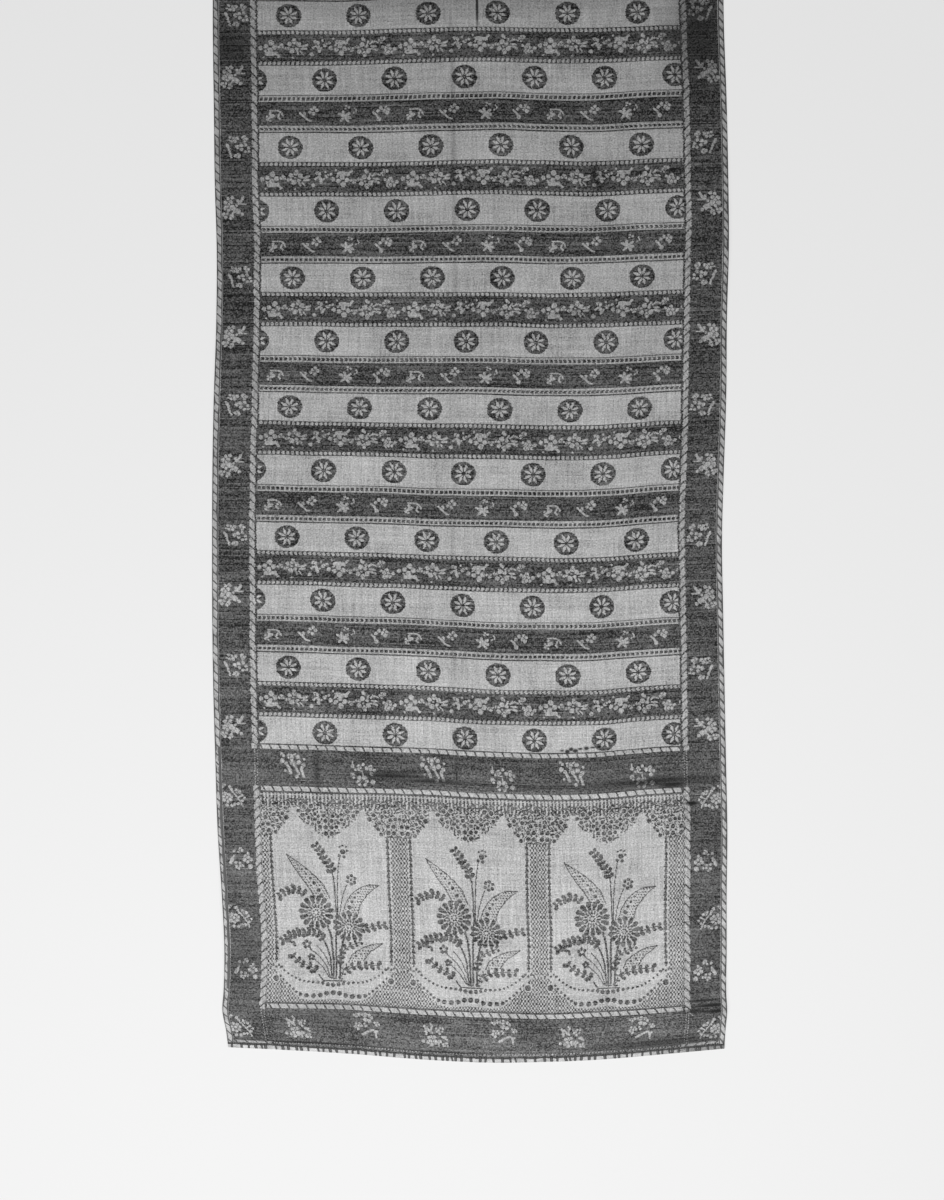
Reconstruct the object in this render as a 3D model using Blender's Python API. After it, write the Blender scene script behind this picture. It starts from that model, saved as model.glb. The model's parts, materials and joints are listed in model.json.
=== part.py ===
"""A silk sash with floral ends, laid flat at its full length.

Metres, +Z up. X runs across the sash and Y along it. The origin is under the middle
of the sash, on the surface that it lies on. Its two halves lie alike after half a
turn about Z, so the tables below give one half, from the near end at -Y to the
middle.
"""

import bpy
import numpy as np

MM = 0.001

# Driving sizes
WIDTH = 0.348
REPEAT = 0.0891
REPEATS = 32
LIGHT_BAND = 0.0193
END_ZONE = 0.2086
LENGTH = REPEATS * REPEAT + LIGHT_BAND + 2 * END_ZONE
WALL = 0.0011
SEAM = 0.0003
SELVAGE = 0.0040
SELVAGE_CROWN = 0.0005
HEM = 0.0037
HEM_CROWN = 0.0006
ROW_PITCH = 0.036
CORNER_ROWS = (0.010, 0.020)

# Columns of the mesh, across from the middle line. They close up at the long crease.
COLUMNS_MM = (-150, -122, -94, -66, -40, -22, -10, 2, 20, 46, 72, 98, 124, 150)

# How the edges wander. Along: from the near end. Left and right: how far each edge
# lies inside the widest place.
EDGES_MM = (
    # along, left, right
    (0, 11.0, 3.2),
    (12, 9.6, 2.6),
    (27, 7.1, 1.4),
    (41, 7.9, 2.0),
    (68, 8.5, 1.7),
    (108, 6.7, 1.7),
    (148, 4.0, 1.2),
    (202, 2.2, 2.2),
    (243, 1.0, 3.0),
    (296, 0.2, 4.0),
    (350, 0.1, 4.8),
    (391, 0.3, 3.7),
    (444, 1.3, 2.0),
    (498, 3.0, 1.5),
    (552, 3.2, 0.2),
    (592, 2.0, 0.6),
    (646, 1.3, 1.7),
    (700, 0.6, 3.6),
    (800, 1.6, 3.2),
    (920, 3.4, 1.4),
    (1060, 2.8, 0.9),
    (1210, 1.2, 2.2),
    (1360, 0.8, 3.4),
    (1510, 2.0, 2.4),
    (LENGTH / 2 / MM, 2.2, 2.2),
)

# How the weft lines bow. Along: from the near end. The rest: how far the line lies
# nearer that end than it would if straight, at each place across.
BOW_ACROSS_MM = (-172, -131, -81, -27, 13, 54, 81, 131, 172)
BOW_MM = (
    # along, then one for each place across
    (0, -10.8, -8.9, -6.0, -1.8, 0.0, -0.6, -1.7, -5.8, -9.6),
    (40, -7.6, -5.7, -4.6, -1.2, 0.6, 1.6, 0.4, -2.8, -6.2),
    (110, -6.0, -4.8, -3.8, -1.6, 0.5, 1.6, 0.6, -2.8, -4.6),
    (200, -5.4, -4.7, -3.2, -1.5, 0.5, 1.6, 1.0, -2.8, -4.4),
    (300, -5.4, -4.6, -3.2, -1.3, 0.4, 1.3, 0.9, -2.2, -4.4),
    (365, -3.6, -3.0, -2.3, -0.4, 0.2, 1.1, 1.0, -2.8, -4.6),
    (430, -2.8, -2.2, -1.2, -0.2, 0.1, 1.2, 1.0, -2.0, -3.4),
    (500, 0.1, 0.0, 0.5, 0.6, 0.1, 1.3, 1.0, -1.0, -2.2),
    (590, 2.2, 2.0, 2.2, 1.2, 0.3, 1.3, 1.5, -0.7, -1.6),
    (690, 3.0, 2.7, 2.6, 1.0, 0.2, 1.3, 1.3, -0.7, -1.4),
    (860, 1.4, 1.6, 1.8, 0.9, 0.1, 0.6, 0.8, -0.6, -1.6),
    (1060, -2.0, -1.2, -0.2, 0.4, 0.6, 0.9, 0.4, -0.8, -2.4),
    (1320, -2.6, -1.6, -0.8, 0.2, 0.8, 0.8, 0.2, -0.6, -1.0),
    (LENGTH / 2 / MM, 0.0, 0.0, 0.0, 0.0, 0.0, 0.0, 0.0, 0.0, 0.0),
)

# The largest folds, which stand off the surface as soft ridges
FOLDS_MM = (
    # across, along, turn in degrees, half length, half width, height
    (-10, 300, 90, 330, 13, 1.2),
    (-8, 960, 90, 330, 13, 0.9),
    (-12, 1480, 90, 160, 12, 1.1),
    (62, 190, 3, 130, 21, 1.3),
    (-168, 86, 84, 62, 20, 2.2),
    (158, 36, 14, 46, 19, 1.8),
    (170, 560, 92, 80, 17, 1.6),
    (-84, 640, 8, 74, 24, 1.5),
    (104, 470, -6, 66, 22, 1.2),
    (-170, 470, 88, 90, 16, 1.4),
    (-96, 1010, -5, 80, 26, 1.9),
    (118, 870, 7, 60, 24, 1.5),
    (172, 1210, 88, 95, 18, 1.9),
    (-58, 1330, 10, 92, 24, 1.6),
    (-171, 1440, 92, 84, 18, 1.7),
)


def smooth(places, values, at):
    """A smooth line through the values, read at each place asked for."""
    places = np.asarray(places, float)
    values = np.asarray(values, float)
    slopes = np.gradient(values, places)
    step = np.clip(np.searchsorted(places, at) - 1, 0, len(places) - 2)
    gap = places[step + 1] - places[step]
    t = np.clip((at - places[step]) / gap, 0, 1)
    rise = t * t * (3 - 2 * t)
    bend = t * (1 - t) * gap * ((1 - t) * slopes[step] - t * slopes[step + 1])
    return values[step] * (1 - rise) + values[step + 1] * rise + bend


def smooth_sheet(rows, across_places, across, along):
    """The bow table read at points, smooth both ways."""
    table = np.asarray(rows, float)
    lines = [smooth(table[:, 0], table[:, 1 + i], along) for i in range(len(across_places))]
    lines = np.stack(lines, axis=-1)
    out = np.empty(np.shape(across))
    for index in np.ndindex(out.shape):
        out[index] = smooth(across_places, lines[index], across[index])
    return out


def lift(across, along):
    """How far the cloth's underside stands off the surface. Near half, millimetres."""
    height = np.zeros(np.shape(across))
    for fold_across, fold_along, turn, half_length, half_width, rise in FOLDS_MM:
        angle = np.radians(turn)
        dx = across - fold_across
        dy = along - fold_along
        run = (dx * np.cos(angle) + dy * np.sin(angle)) / half_length
        side = (dy * np.cos(angle) - dx * np.sin(angle)) / half_width
        reach = np.clip(1 - run**2, 0, 1) * np.clip(1 - side**2, 0, 1)
        height = np.maximum(height, rise * reach**1.5)
    return height


def lie(share, along):
    """Where a point of the woven sash lies.

    share is 0 at the left edge and 1 at the right one, and along is metres from the
    near end. Returns x, y and the underside's z, in metres.
    """
    share, along = np.broadcast_arrays(np.asarray(share, float), np.asarray(along, float))
    far = along > LENGTH / 2
    near_along = np.where(far, LENGTH - along, along) / MM
    near_share = np.where(far, 1 - share, share)
    table = np.array(EDGES_MM)
    left = -WIDTH / MM / 2 + smooth(table[:, 0], table[:, 1], near_along)
    right = WIDTH / MM / 2 - smooth(table[:, 0], table[:, 2], near_along)
    across = left + (right - left) * near_share
    bow = smooth_sheet(BOW_MM, BOW_ACROSS_MM, across, near_along)
    x = across * MM
    y = -LENGTH / 2 + (near_along - bow) * MM
    z = lift(across, near_along) * MM
    turned = np.where(far, -1, 1)
    return x * turned, y * turned, z


def material(name, colour, roughness):
    made = bpy.data.materials.new(name)
    made.use_nodes = True
    shader = made.node_tree.nodes["Principled BSDF"]
    shader.inputs["Base Color"].default_value = (*colour, 1)
    shader.inputs["Roughness"].default_value = roughness
    shader.inputs["Metallic"].default_value = 0
    return made


def wall(name, shares, rows, crown, finish, collection):
    """A closed wall of cloth over a grid of shares across and rows along.

    It is a loft of sections, one at each row. crown is how much thicker the wall is
    at its middle than at its two long sides, across the section or along it.
    """
    shares, rows = np.meshgrid(shares, rows)
    x, y, under = lie(shares, rows)
    top = under + WALL + crown
    count = shares.shape[1]
    vertices = []
    for r in range(shares.shape[0]):
        vertices += [(x[r, c], y[r, c], top[r, c]) for c in range(count)]
        vertices += [(x[r, c], y[r, c], under[r, c]) for c in reversed(range(count))]
    ring = 2 * count
    faces = []
    for r in range(shares.shape[0] - 1):
        for c in range(ring):
            here = r * ring + c
            beside = r * ring + (c + 1) % ring
            faces.append((here, beside, beside + ring, here + ring))
    for start, flip in ((0, True), ((shares.shape[0] - 1) * ring, False)):
        for c in range(count - 1):
            end = [start + c, start + c + 1, start + ring - 2 - c, start + ring - 1 - c]
            faces.append(end[::-1] if flip else end)
    mesh = bpy.data.meshes.new(name)
    mesh.from_pydata(vertices, [], faces)
    mesh.materials.append(finish)
    mesh.shade_smooth()
    mesh.set_sharp_from_angle(angle=np.radians(40))
    piece = bpy.data.objects.new(name, mesh)
    collection.objects.link(piece)
    return piece


def main():
    for old in list(bpy.data.objects):
        bpy.data.objects.remove(old, do_unlink=True)
    sash = bpy.data.collections.new("silk_sash")
    bpy.context.scene.collection.children.link(sash)

    silk = material("silk", (0.42, 0.42, 0.42), 0.6)
    cord = material("selvage_cord", (0.52, 0.52, 0.52), 0.65)
    roll = material("hem_roll", (0.5, 0.5, 0.5), 0.7)

    edge = SELVAGE / WIDTH
    seam = SEAM / WIDTH
    hem_row = HEM + SEAM
    columns = [0.5 + place * MM / WIDTH for place in COLUMNS_MM]
    columns = [edge + seam] + columns + [1 - edge - seam]
    steps = round((LENGTH - 2 * hem_row) / ROW_PITCH)
    rows = list(np.linspace(hem_row, LENGTH - hem_row, steps + 1))
    rows[1:1] = CORNER_ROWS
    rows[-1:-1] = [LENGTH - row for row in reversed(CORNER_ROWS)]

    wall("cloth", columns, rows, 0, silk, sash)
    raised = SELVAGE_CROWN * np.array([0, 1, 1, 0])
    wall("selvage_left", edge * np.array([0, 0.3, 0.7, 1]), rows, raised, cord, sash)
    wall("selvage_right", 1 - edge * np.array([1, 0.7, 0.3, 0]), rows, raised, cord, sash)
    across = [0] + columns[1:-1] + [1]
    raised = HEM_CROWN * np.array([[0], [1], [1], [0]])
    hem_rows = HEM * np.array([0, 0.3, 0.7, 1])
    wall("hem_near", across, hem_rows, raised, roll, sash)
    wall("hem_far", across, LENGTH - hem_rows[::-1], raised, roll, sash)


main()
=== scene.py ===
"""The looks of a silk sash with floral ends, laid flat at its full length.

The frame is in metres, with X across the sash and Y along it. The weave itself is laid
out in millimetres: across from the left edge, and along from the near end. Its motifs
are charted in threads, on squared paper that repeats as the weave does.
"""

import json

import bpy
import numpy as np
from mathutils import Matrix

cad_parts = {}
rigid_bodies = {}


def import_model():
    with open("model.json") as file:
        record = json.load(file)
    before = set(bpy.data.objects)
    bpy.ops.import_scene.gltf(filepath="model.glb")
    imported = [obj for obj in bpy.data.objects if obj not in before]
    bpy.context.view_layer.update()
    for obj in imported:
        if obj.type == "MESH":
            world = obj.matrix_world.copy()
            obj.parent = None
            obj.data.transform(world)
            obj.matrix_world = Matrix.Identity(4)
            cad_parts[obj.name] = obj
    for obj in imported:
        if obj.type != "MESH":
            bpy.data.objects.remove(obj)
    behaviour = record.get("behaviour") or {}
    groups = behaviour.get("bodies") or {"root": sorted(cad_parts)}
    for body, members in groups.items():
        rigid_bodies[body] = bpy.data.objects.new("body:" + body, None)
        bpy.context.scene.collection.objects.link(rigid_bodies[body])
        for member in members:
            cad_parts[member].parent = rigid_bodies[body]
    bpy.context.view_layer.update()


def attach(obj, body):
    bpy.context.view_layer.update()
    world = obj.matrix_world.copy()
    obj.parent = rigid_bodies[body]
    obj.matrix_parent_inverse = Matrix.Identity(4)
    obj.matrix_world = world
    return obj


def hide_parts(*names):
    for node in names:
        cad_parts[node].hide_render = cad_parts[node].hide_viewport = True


for old in list(bpy.data.objects):
    bpy.data.objects.remove(old, do_unlink=True)
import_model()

MM = 0.001
BOTH = (-1, 1)

# Driving sizes of the weave, in millimetres
WIDTH = 348.0
REPEAT = 89.1
REPEATS = 32
LIGHT_BAND = 19.3
FLOWER_BAND = 24.0
END_ZONE = 208.6
LENGTH = REPEATS * REPEAT + LIGHT_BAND + 2 * END_ZONE
WALL = 1.1
SEAM = 0.3
SELVAGE = 4.0
SELVAGE_CROWN = 0.5
CORD_PITCH = REPEAT / 14.5
HEM = 3.7
HEM_CROWN = 0.6
BORDER = 30.5
# How far apart the streaks of the silk are
STREAK = 0.9
# How far the drawing strays: in each thick pick of the field, and smoothly over the
# silk, across and along
THICK_STRAY = 0.6
STRAY = (1.6, 1.4)
# The size of noise that gives each whole line a value of its own
BY_LINE = 0.137
# How many stretches of cloth the field is made of, the columns of each stretch's mesh,
# and how far apart the rows of the cloth and of the cords are
STRETCHES = 8
CLOTH_COLUMNS = 121
CLOTH_ROW_GAP = 3.5
CORD_ROW_GAP = 1.1

# Greys: light and dark silk, dark silk in the end panels, and how much paler than in
# the field the dark silk of the ends is
LIGHT_SILK = 0.41
DARK_SILK = 0.069
PANEL_SILK = 0.083
END_PALER = 1.14

# The charts: the size of a thread, and roughly that of a chart's cell
THREAD = 0.675
CELL = 0.45
# A chart goes into a shader as colour ramps. Each step of a ramp is one row of cells,
# and its red, green and blue are whole numbers whose binary digits are the row's cells.
RAMP_ROWS = 32
DIGITS = 24
STRIP = 3 * DIGITS

# Sizes and places in the charts, in threads. Rows are (low, high) along.
FIELD_REPEAT = 141
BAND_REPEAT = 132
END_ROWS = 311.2
BORDER_THREADS = (BORDER - SELVAGE) / THREAD
LIGHT_ROWS = LIGHT_BAND / THREAD
FLOWER_ROWS = (LIGHT_ROWS, LIGHT_ROWS + FLOWER_BAND / THREAD)
SPRIG_ROWS = (FLOWER_ROWS[1] + LIGHT_ROWS, BAND_REPEAT)
HEM_ROWS = (-1, 45)
PANEL_ROWS = (52.0, 262.6)
NICHE = (67.0, 77.5)
PLANT = (69.0, 77.5)
# The light ropes across an end: low, high, and where their cuts start
ROPES = ((45.2, 50.2, 2.4), (264.4, 268.8, 2.0), (306.0, 309.8, 0.6))
# How many beads, cuts of a rope, checks and leaves fit in a repeat of the field
BEADS = 30
ROPE_CUTS = 15
CHECKS = 44
LEAF_COLUMNS = 41
# How high a check is, and how many cuts a guard has in a repeat of the bands
CHECK_HEIGHT = 2.35
GUARD_CUTS = 14
# How far the dark edge of a light dot stands out
MOTIF_HALO = 0.7

# How the edges wander. Along: from the near end. Left and right: how far each edge
# lies inside the widest place.
EDGES = (
    # along, left, right
    (0, 11.0, 3.2),
    (12, 9.6, 2.6),
    (27, 7.1, 1.4),
    (41, 7.9, 2.0),
    (68, 8.5, 1.7),
    (108, 6.7, 1.7),
    (148, 4.0, 1.2),
    (202, 2.2, 2.2),
    (243, 1.0, 3.0),
    (296, 0.2, 4.0),
    (350, 0.1, 4.8),
    (391, 0.3, 3.7),
    (444, 1.3, 2.0),
    (498, 3.0, 1.5),
    (552, 3.2, 0.2),
    (592, 2.0, 0.6),
    (646, 1.3, 1.7),
    (700, 0.6, 3.6),
    (800, 1.6, 3.2),
    (920, 3.4, 1.4),
    (1060, 2.8, 0.9),
    (1210, 1.2, 2.2),
    (1360, 0.8, 3.4),
    (1510, 2.0, 2.4),
    (LENGTH / 2, 2.2, 2.2),
)

# How the weft lines bow. Along: from the near end. The rest: how far the line lies
# nearer that end than it would if straight, at each place across from the middle.
BOW_ACROSS = (-172, -131, -81, -27, 13, 54, 81, 131, 172)
BOW = (
    # along, then one for each place across
    (0, -10.8, -8.9, -6.0, -1.8, 0.0, -0.6, -1.7, -5.8, -9.6),
    (40, -7.6, -5.7, -4.6, -1.2, 0.6, 1.6, 0.4, -2.8, -6.2),
    (110, -6.0, -4.8, -3.8, -1.6, 0.5, 1.6, 0.6, -2.8, -4.6),
    (200, -5.4, -4.7, -3.2, -1.5, 0.5, 1.6, 1.0, -2.8, -4.4),
    (300, -5.4, -4.6, -3.2, -1.3, 0.4, 1.3, 0.9, -2.2, -4.4),
    (365, -3.6, -3.0, -2.3, -0.4, 0.2, 1.1, 1.0, -2.8, -4.6),
    (430, -2.8, -2.2, -1.2, -0.2, 0.1, 1.2, 1.0, -2.0, -3.4),
    (500, 0.1, 0.0, 0.5, 0.6, 0.1, 1.3, 1.0, -1.0, -2.2),
    (590, 2.2, 2.0, 2.2, 1.2, 0.3, 1.3, 1.5, -0.7, -1.6),
    (690, 3.0, 2.7, 2.6, 1.0, 0.2, 1.3, 1.3, -0.7, -1.4),
    (860, 1.4, 1.6, 1.8, 0.9, 0.1, 0.6, 0.8, -0.6, -1.6),
    (1060, -2.0, -1.2, -0.2, 0.4, 0.6, 0.9, 0.4, -0.8, -2.4),
    (1320, -2.6, -1.6, -0.8, 0.2, 0.8, 0.8, 0.2, -0.6, -1.0),
    (LENGTH / 2, 0.0, 0.0, 0.0, 0.0, 0.0, 0.0, 0.0, 0.0, 0.0),
)

# The largest folds, which stand off the surface as soft ridges
FOLDS = (
    # across from the middle, along, turn in degrees, half length, half width, height
    (-10, 300, 90, 330, 13, 1.2),
    (-8, 960, 90, 330, 13, 0.9),
    (-12, 1480, 90, 160, 12, 1.1),
    (62, 190, 3, 130, 21, 1.3),
    (-168, 86, 84, 62, 20, 2.2),
    (158, 36, 14, 46, 19, 1.8),
    (170, 560, 92, 80, 17, 1.6),
    (-84, 640, 8, 74, 24, 1.5),
    (104, 470, -6, 66, 22, 1.2),
    (-170, 470, 88, 90, 16, 1.4),
    (-96, 1010, -5, 80, 26, 1.9),
    (118, 870, 7, 60, 24, 1.5),
    (172, 1210, 88, 95, 18, 1.9),
    (-58, 1330, 10, 92, 24, 1.6),
    (-171, 1440, 92, 84, 18, 1.7),
)

# The main creases, finer than the folds: ridges, and troughs where the height is below 0
CREASES = (
    # across from the middle, along, turn in degrees, half length, half width, height
    (-13, 470, 91, 420, 4, 0.45),
    (-9, 1220, 90, 380, 4, 0.4),
    (38, 195, 2, 120, 7, 0.5),
    (60, 178, 1, 100, 6, -0.45),
    (152, 22, 24, 26, 7, 0.9),
    (163, 34, 28, 22, 5, -0.5),
    (-150, 20, -18, 34, 8, 0.6),
    (-60, 14, 4, 70, 8, 0.5),
    (60, 12, -3, 80, 7, 0.5),
    (-160, 150, 86, 60, 6, 0.5),
    (-164, 300, 92, 70, 7, 0.5),
    (160, 130, 88, 70, 6, 0.5),
    (164, 300, 91, 80, 7, 0.5),
    (168, 430, 88, 60, 6, 0.6),
    (-166, 560, 90, 70, 6, 0.5),
    (20, 330, 4, 90, 9, 0.35),
    (-90, 410, -5, 70, 9, 0.4),
    (96, 560, 6, 60, 9, 0.4),
    (-30, 700, 3, 110, 10, 0.4),
    (130, 690, 84, 90, 8, 0.4),
    (-120, 840, 80, 90, 9, 0.5),
    (50, 1010, -6, 90, 10, 0.45),
    (-140, 1180, 95, 110, 9, 0.5),
    (120, 1340, 82, 100, 9, 0.5),
    (20, 1500, 5, 90, 10, 0.45),
)

# Dark marks and painted shade: soft dark marks on the weave. The rows marked below as painted shade
# stand for the shade of creases and folds and of the light falling off; the others are dark marks and a
# slit.
MARKS_AND_PAINTED_SHADE = (
    # across, along, half across, half along, how much darker
    (69, 190, 2.2, 15, 0.45),
    # Painted shade: the crease across the end zone's cross band, darkest at the fold by its right end
    (118, 191, 26, 3.2, 0.65),
    (150, 188, 30, 2.2, 0.6),
    (228, 187, 60, 1.5, 0.3),
    (311, 184, 12, 2.5, 0.8),
    (300, 187, 45, 4, 0.6),
    # Other dark marks
    (236.5, 211.4, 1.8, 0.8, 0.7),
    (240.2, 210.8, 1.7, 1.2, 1.2),
    (242.8, 212.2, 1.5, 1.2, 1.3),
    (245.6, 211.2, 1.8, 1.1, 1.3),
    (249, 212.4, 1.8, 0.8, 0.9),
    (253.2, 212.6, 1.7, 1.1, 1.2),
    (257.5, 213, 2.2, 0.7, 0.8),
    (262, 213.2, 1.7, 0.9, 1.1),
    # Painted shade along the lengthwise crease, near 164 across
    (164.2, 191, 0.8, 14, 0.5),
    # Other dark marks
    (323.5, 171, 4.5, 1.4, 1.2),
    (258, 599, 2.8, 9, 0.6),
    # Painted shade along the lengthwise crease, over two long stretches
    (162, 640, 2.0, 160, 0.22),
    (164, 310, 1.6, 100, 0.2),
    # Painted shade at the near end: the fold at its right corner, and the dark line just above the hem
    (346, 30, 8, 10, 0.3),
    (305, 8, 50, 5, 0.45),
    (338, 33, 13, 1.3, 1.2),
    (331, 37, 16, 0.9, 0.8),
    (341, 28.5, 9, 1.4, 0.9),
    (324, 30, 10, 1.6, 0.8),
    (60, 6.2, 75, 0.9, 0.8),
    (150, 5.8, 40, 0.7, 0.7),
    # Other dark marks, and a slit at 180 across
    (330, 690, 26, 40, 0.5),
    (12, 60, 10, 20, 0.25),
    (70, 30, 40, 14, 0.2),
    (180, 712, 1.0, 14, 1.2),
    # Painted shade where the light falls off, 680 to 730 mm from the near end
    (12, 686, 20, 18, 0.4),
    (170, 718, 170, 12, 0.2),
    # Other dark marks
    (60, 420, 50, 4, 0.18),
    (230, 505, 60, 3, 0.2),
)

# Loose light threads on the weave
LOOSE_THREADS = (
    # one end's across and along, then the other's
    (319, 32, 324.5, 26.5),
    (215.5, 659, 218.5, 650),
    (96, 45.8, 128, 45.2),
)

# Motifs: dots, each (across, along, radius), and lines, each (half width, points...),
# in threads from the motif's own centre.
FLOWER_1 = (
    (
        (-9.8, -1, 1.9), (-4.4, 0.6, 2), (0.8, 4.1, 2.4), (4.5, -0.1, 2.2), (-0.3, -3.1, 2.3),
        (11.2, 1, 2.1), (9, 0, 1.1), (13.2, -0.3, 1), (-7, -10.3, 0.9),
    ),
    (
        (1, (-5.3, -3.7), (-3.6, -6.8)), (1.7, (-3.6, -6.8), (2, -6.8), (5.8, -6.2)),
        (1.2, (5.8, -6.2), (8.6, -9.6)),
    ),
)
FLOWER_2 = (
    (
        (-5.5, -1.9, 1.5), (-3.5, -1.6, 1.3), (-2.8, 2.5, 2), (2.4, 4.6, 2.1), (2.4, 6.6, 1.4),
        (6.4, 2.3, 2.1), (-0.1, -4.2, 2.3), (4.9, -2.5, 1.5), (0.9, 0.3, 0.8), (19.4, -7.5, 1.7),
        (1, -11.3, 0.9),
    ),
    (
        (0.8, (3.8, -2.5), (6.5, -7.5)), (0.9, (9.9, -2.5), (14.4, -1.9)),
        (1.1, (11.5, 0.3), (15, 1.6)), (0.6, (8.3, -4.7), (11, -8)), (0.7, (7, 0), (11, 0.2)),
    ),
)
FLOWER_3 = (
    (
        (-2.2, 5.3, 1.5), (0.3, 4.6, 1.5), (3.9, -0.9, 1), (7.2, 1.9, 1.6), (9, 3.2, 1),
        (11.7, 4.1, 1.1), (5.5, 6.5, 1),
    ),
    (
        (0.9, (-4.4, -0.9), (-2.2, 0.8), (0.5, 0.8)), (1.4, (0.9, -0.3), (1.7, -3.9)),
        (0.8, (0.5, 0.8), (0.3, 4.6)),
    ),
)
FLOWER_4 = (
    (
        (-5, 8.9, 2), (-2.7, 9.2, 1.4), (-7.2, 7.2, 1.3), (-6.6, 5, 0.9), (1.2, 1.7, 1.7),
        (-1.6, -1.1, 1.9), (-4.4, 0.6, 1.2), (2.8, -1.1, 1.3), (-1.1, -4.8, 2.2), (1, -4.8, 1.6),
        (4.5, -5, 1.4), (7.3, -1.9, 1.6),
    ),
    ((0.6, (-17.2, 5), (-12.7, 6.7), (-9.5, 5.5)), (1.3, (-24.9, 10), (-22.7, 8.3))),
)
SPRIG_1 = (
    ((-4.3, 1.2, 1.3), (-7.7, -2.2, 1), (-7.1, -5.5, 1.4), (-4.3, -6.6, 0.9), (5.5, 2, 1)),
    (
        (0.7, (-5.5, 3.9), (-1.5, 3.6)), (0.8, (0, 3.9), (3.5, 3.4), (6, 1.8)),
        (0.8, (7.3, 0.6), (8, -1.5)), (0.9, (4.5, 0.1), (3.4, -2.7), (5, -4.9)),
        (1.6, (-4, -1), (-1.5, -1.6)), (1, (-5.5, -3.8), (-1.5, -2.2)),
    ),
)
SPRIG_2 = (
    (
        (0.5, 2.3, 1.7), (4.3, 0.6, 1.8), (2, 5, 1.4), (4.9, 6.7, 1.7), (7.1, 3.9, 1.8),
        (-5, 0.6, 1.7), (-6.8, -1, 1.2),
    ),
    ((0.9, (-10, 1.7), (-6.8, -1), (-4, -3.8), (-1.2, -6), (1.6, -6.8)),),
)
SPRIG_3 = (
    ((2.2, 7.9, 1.2), (4.8, 6.6, 1.1), (1.5, 5.6, 0.8), (9.2, 1.5, 0.9)),
    (
        (1.3, (-1.2, -1.8), (-5.4, 0.6)), (1.2, (-0.4, -1), (-1.6, 2.6)),
        (1.3, (1.2, -1.6), (4.6, 0.8)), (1.2, (1.3, -2.7), (5.6, -3.4)),
        (1.2, (0.6, -3.8), (3.6, -7)), (1.3, (-1, -3.6), (-3.6, -6.4)),
        (0.7, (10.6, 6), (11.4, 2.4)),
    ),
)
SPRIG_4 = (
    (
        (-2.4, 2.8, 1.6), (1, 5.6, 1.8), (4.3, 2.8, 1.9), (7.1, 1.2, 2.1), (6, 6.5, 1.3),
        (8.4, 4.5, 1.5), (-1.3, -5.5, 2.1),
    ),
    ((1, (-6.8, 1.4), (-4, -1), (-1.8, -4.4)),),
)
BORDER_SPRIG_1 = (
    (
        (-7.5, 5.5, 1.9), (-2.5, 6, 1.9), (-4.5, 3.5, 1.4), (-7.5, 0, 2.3), (-1.5, 0.5, 2.5),
        (-5, -2.5, 1.5), (-5, 9.5, 1.5), (-0.5, 10.2, 1.6), (5, 7.2, 1.4), (3, 2.5, 1.2),
        (5, -3.6, 2.4), (8.5, -6, 1.6), (-2, -8.5, 2), (-3.4, -10.3, 1.3), (-10, -6.5, 1.9),
        (-8, -9, 1.4), (-6.5, -6, 1.2),
    ),
    (
        (1.2, (10.4, 10.5), (8, 6.5), (5.5, 4.5)), (0.7, (12.5, 4), (7.5, 4)),
        (0.8, (2.2, -0.5), (0.2, -3.5), (-1.4, -6.5)), (0.7, (4.2, -1), (1.2, -4.5)),
    ),
)
BORDER_SPRIG_2 = (
    (
        (-2.5, 9.5, 1.3), (-6, 10.2, 1.2), (1.2, 9, 1.6), (-1.2, 6.4, 1.7), (-4.5, 6.2, 1.2),
        (7.8, 9.6, 2.1), (10, 8.5, 1.6), (8.5, 5.7, 1.2), (0.9, 0.5, 1.9), (4.3, 1.6, 1.8),
        (8.8, 2.8, 1.5), (4.9, -2, 1.6), (9, -4.6, 1.3), (11.8, -0.8, 1.4), (12.6, -3.9, 1.3),
        (2.2, -8.4, 2.3), (-0.4, -8.2, 1.4),
    ),
    (
        (1.3, (-9.5, 2.5), (-7.5, -0.8)), (0.9, (-7.5, -0.8), (-6, -5.5), (-4.5, -10)),
        (0.6, (-8, 7.2), (-3, 6.2)),
    ),
)
END_SPRIG_1 = (
    (
        (-11.5, 9.8, 1.9), (-8.8, 11.4, 1.1), (-3.6, 9.3, 1.7), (-2.2, 7, 1.4), (4, 5, 2.2),
        (6.2, 4.2, 1.6), (2.4, 6.4, 1.3), (-8.6, 2.3, 2), (-4.6, 1.5, 2), (-10.4, -1, 1.6),
        (-9.7, -4, 1.8), (-3.3, -3, 2), (-6.3, -5.5, 1.5), (-7, -9.4, 1.6), (-1.3, 4.2, 1),
        (8.4, 1, 1.3), (10.8, -1.8, 1.2), (8.6, -4.5, 1.2), (-2.4, -9.6, 1.5), (0.8, -8, 1.5),
        (4.4, -7.4, 1.5), (-6.6, -1.2, 1.5), (-12, 2.6, 1.4), (-2, -0.4, 1.4),
    ),
    ((0.7, (-3.3, 8), (0.5, 3), (4, -1.5), (6.8, -5.4), (8.6, -10)), (0.7, (4, -1.5), (8.4, 1))),
)
END_SPRIG_2 = (
    (
        (-5.3, 9.3, 1.4), (1.4, 11.2, 2.1), (2.6, 10, 1.4), (-1, 8.5, 1), (8.6, 7, 1.5),
        (6, 4.5, 1.6), (9.3, 3.2, 1.4), (5.2, 1, 2.1), (11.5, 1.2, 1.8), (8.2, -1, 1.6),
        (10.8, -5.7, 2.4), (-3.8, -1.7, 1.4), (0.4, -2.4, 1.4), (-3.4, -5.6, 1.7), (3.2, -5, 1.4),
        (-1.2, -7.5, 1.3), (0.6, -5, 1.3),
    ),
    ((1.7, (-9.1, -1.8), (-7.2, 1.8)), (0.9, (-7.2, 1.8), (-5.8, 4.8))),
)
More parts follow.
